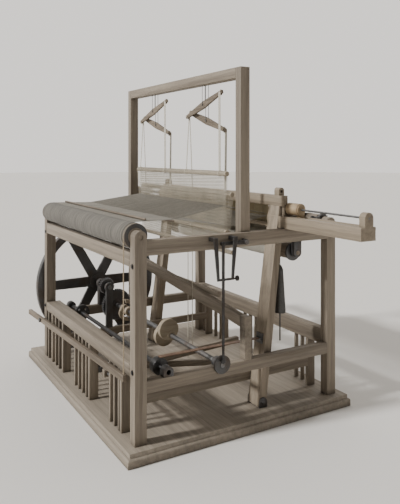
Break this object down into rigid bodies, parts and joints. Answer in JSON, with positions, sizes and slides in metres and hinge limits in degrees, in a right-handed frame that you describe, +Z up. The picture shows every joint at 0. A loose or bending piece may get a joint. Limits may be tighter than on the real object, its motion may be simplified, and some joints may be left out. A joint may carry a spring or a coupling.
{
  "type": "power loom",
  "caption": "Timber power loom with iron gearing: warp and cloth rollers, two healds on overhead levers, swinging batten with shuttle boxes, treadles, cams and a fly-wheel.",
  "frame": {"origin": "bottom centre of the whole loom's box, on the underside of the plinth", "axes": "+X from the warp-roller end to the cloth end, +Y across the cloth from the near side to the fly-wheel side, +Z up"},
  "size_m": [1.297, 2.477, 1.789],
  "materials": {
    "timber": "oiled, worn at the edges",
    "batten_wood": "planed smooth, polished by use",
    "treadle_wood": "rough sawn, worn",
    "lever_wood": "planed",
    "roller_wood": "turned",
    "shuttle_wood": "polished boxwood",
    "cane": "split cane",
    "yarn": "sized cotton yarn",
    "cloth": "plain woven cotton",
    "cord": "varnished cord",
    "rope": "hemp",
    "leather": "oiled",
    "hide": "raw buffalo hide",
    "cast_iron": "as cast, oiled",
    "weight_iron": "as cast, dull",
    "wrought_iron": "forged, dark",
    "steel": "turned bright, dulled"
  },
  "bodies": {
    "frame": {"plinth": "timber", "warp_end_posts": "timber", "cloth_end_posts": "timber", "top_rails": "timber", "lower_rails": "timber", "warp_end_rails": "timber", "cloth_end_rail": "timber", "warp_end_uprights": "timber", "cloth_end_uprights": "timber", "inner_rails": "timber", "arch_posts": "timber", "arch_top_beam": "timber", "guide_frame": "timber", "iron_bearings": "cast_iron", "studs_and_pins": "steel", "rod_stirrup": "wrought_iron", "lever_hangers": "steel", "upper_warp": "yarn", "lower_warp": "yarn", "cloth": "cloth"},
    "warp_roller": {"warp_roller": "roller_wood", "warp_yarn": "yarn"},
    "breast_roller": {"breast_roller": "roller_wood", "ratchet_wheel": "cast_iron"},
    "pawl": {"ratchet_pawl": "wrought_iron"},
    "cloth_roller": {"cloth_roller": "roller_wood", "wound_cloth": "cloth"},
    "camshaft": {"cam_shaft": "steel", "cog_wheel": "cast_iron", "cams": "lever_wood", "crank_disc": "cast_iron"},
    "main_shaft": {"main_shaft": "steel", "pinion": "cast_iron", "flywheel": "cast_iron"},
    "rocking_shaft": {"rocking_shaft": "wrought_iron"},
    "batten": {"batten_swords": "batten_wood", "lay_cap": "batten_wood", "race_beam": "batten_wood", "reed": "cane", "batten_blocks": "batten_wood", "batten_irons": "steel", "draw_strap": "leather"},
    "near_picker": {"near_picker": "hide"},
    "far_picker": {"far_picker": "hide"},
    "shuttle": {"shuttle": "shuttle_wood"},
    "front_heald": {"front_heald_staves": "lever_wood", "front_heald_cords": "cord"},
    "back_heald": {"back_heald_staves": "lever_wood", "back_heald_cords": "cord"},
    "near_upper_lever": {"near_upper_lever": "lever_wood"},
    "near_lower_lever": {"near_lower_lever": "lever_wood"},
    "far_upper_lever": {"far_upper_lever": "lever_wood"},
    "far_lower_lever": {"far_lower_lever": "lever_wood"},
    "front_treadle": {"front_treadle": "treadle_wood"},
    "back_treadle": {"back_treadle": "treadle_wood"},
    "rocker_lever": {"rocker_lever": "wrought_iron"},
    "connecting_rod": {"connecting_rod": "wrought_iron"},
    "tension_lever": {"tension_lever": "treadle_wood", "brake_rope": "rope"},
    "cloth_weight": {"cloth_weight": "weight_iron"}
  },
  "joints": [
    {"name": "main_shaft_turn", "type": "hinge", "parent": "frame", "child": "main_shaft", "pos_m": [-0.2115, 0, 0.47997], "axis": [0, 1, 0], "continuous": true},
    {"name": "camshaft_turn", "type": "hinge", "parent": "frame", "child": "camshaft", "pos_m": [-0.1415, 0, 0.349], "axis": [0, 1, 0], "continuous": true},
    {"name": "warp_roller_turn", "type": "hinge", "parent": "frame", "child": "warp_roller", "pos_m": [-0.5625, 0, 0.984], "axis": [0, 1, 0], "continuous": true},
    {"name": "breast_roller_turn", "type": "hinge", "parent": "frame", "child": "breast_roller", "pos_m": [0.5625, 0, 0.984], "axis": [0, 1, 0], "continuous": true, "deforming": ["cloth"]},
    {"name": "pawl_lift", "type": "hinge", "parent": "frame", "child": "pawl", "pos_m": [0.4885, -0.6445, 1.009], "axis": [0, 1, 0], "range_deg": [-40, 0]},
    {"name": "cloth_roller_turn", "type": "hinge", "parent": "frame", "child": "cloth_roller", "pos_m": [0.3485, 0, 0.837], "axis": [0, 1, 0], "continuous": true},
    {"name": "batten_swing", "type": "hinge", "parent": "frame", "child": "batten", "pos_m": [0.14546, 0, 0.085], "axis": [0, 1, 0], "range_deg": [-8, 0], "deforming": ["draw_strap"]},
    {"name": "rocking_shaft_turn", "type": "hinge", "parent": "frame", "child": "rocking_shaft", "pos_m": [-0.4215, 0, 0.359], "axis": [0, 1, 0], "range_deg": [-58, 0]},
    {"name": "shuttle_slide", "type": "slide", "parent": "batten", "child": "shuttle", "axis": [0, 1, 0], "range_m": [-0.4, 0]},
    {"name": "near_picker_slide", "type": "slide", "parent": "batten", "child": "near_picker", "axis": [0, 1, 0], "range_m": [-0.4, 0]},
    {"name": "far_picker_slide", "type": "slide", "parent": "batten", "child": "far_picker", "axis": [0, 1, 0], "range_m": [0, 0.4]},
    {"name": "front_heald_slide", "type": "slide", "parent": "frame", "child": "front_heald", "axis": [0, 0, 1], "range_m": [-0.1087, 0], "deforming": ["upper_warp", "lower_warp", "front_heald_cords"]},
    {"name": "back_heald_slide", "type": "slide", "parent": "frame", "child": "back_heald", "axis": [0, 0, 1], "range_m": [0, 0.1087], "deforming": ["back_heald_cords"]},
    {"name": "far_upper_lever_turn", "type": "hinge", "parent": "frame", "child": "far_upper_lever", "pos_m": [0.0065, 0.3305, 1.625], "axis": [1, 0, 0], "range_deg": [0, 34]},
    {"name": "far_lower_lever_turn", "type": "hinge", "parent": "frame", "child": "far_lower_lever", "pos_m": [0.0285, 0.3305, 1.537], "axis": [1, 0, 0], "range_deg": [-34, 0]},
    {"name": "near_upper_lever_turn", "type": "hinge", "parent": "frame", "child": "near_upper_lever", "pos_m": [0.0065, -0.2995, 1.625], "axis": [1, 0, 0], "range_deg": [0, 34]},
    {"name": "near_lower_lever_turn", "type": "hinge", "parent": "frame", "child": "near_lower_lever", "pos_m": [0.0285, -0.2995, 1.537], "axis": [1, 0, 0], "range_deg": [-34, 0]},
    {"name": "front_treadle_turn", "type": "hinge", "parent": "frame", "child": "front_treadle", "pos_m": [-0.5135, -0.1845, 0.209], "axis": [0, 1, 0], "range_deg": [0, 12.2]},
    {"name": "back_treadle_turn", "type": "hinge", "parent": "frame", "child": "back_treadle", "pos_m": [-0.5135, -0.0765, 0.209], "axis": [0, 1, 0], "range_deg": [-11.5, 0]},
    {"name": "rocker_lever_turn", "type": "hinge", "parent": "frame", "child": "rocker_lever", "pos_m": [-0.0115, -0.7315, 0.927], "axis": [0, 1, 0], "range_deg": [-3, 3]},
    {"name": "connecting_rod_turn", "type": "hinge", "parent": "rocker_lever", "child": "connecting_rod", "pos_m": [-0.1495, -0.7445, 0.927], "axis": [0, 1, 0], "range_deg": [-3, 3]},
    {"name": "tension_lever_turn", "type": "hinge", "parent": "frame", "child": "tension_lever", "pos_m": [-0.6175, 0.6815, 0.291], "axis": [1, 0, 0], "range_deg": [-2, 2], "deforming": ["brake_rope"]},
    {"name": "cloth_weight_swing", "type": "hinge", "parent": "frame", "child": "cloth_weight", "pos_m": [0.3049, -0.5955, 0.837], "axis": [0, 1, 0], "range_deg": [0, 4]}
  ],
  "couplings": [
    {"joint": "camshaft_turn", "follows": "main_shaft_turn", "ratio": -0.5},
    {"joint": "rocking_shaft_turn", "follows": "batten_swing", "ratio": 7.185},
    {"joint": "near_picker_slide", "follows": "shuttle_slide", "ratio": 1},
    {"joint": "back_heald_slide", "follows": "front_heald_slide", "ratio": -1},
    {"joint": "far_upper_lever_turn", "follows": "front_heald_slide", "rad_per_m": -5.456},
    {"joint": "near_upper_lever_turn", "follows": "front_heald_slide", "rad_per_m": -5.456},
    {"joint": "far_lower_lever_turn", "follows": "front_heald_slide", "rad_per_m": 5.456},
    {"joint": "near_lower_lever_turn", "follows": "front_heald_slide", "rad_per_m": 5.456},
    {"joint": "front_treadle_turn", "follows": "front_heald_slide", "rad_per_m": -1.946},
    {"joint": "back_treadle_turn", "follows": "front_heald_slide", "rad_per_m": 1.832}
  ]
}
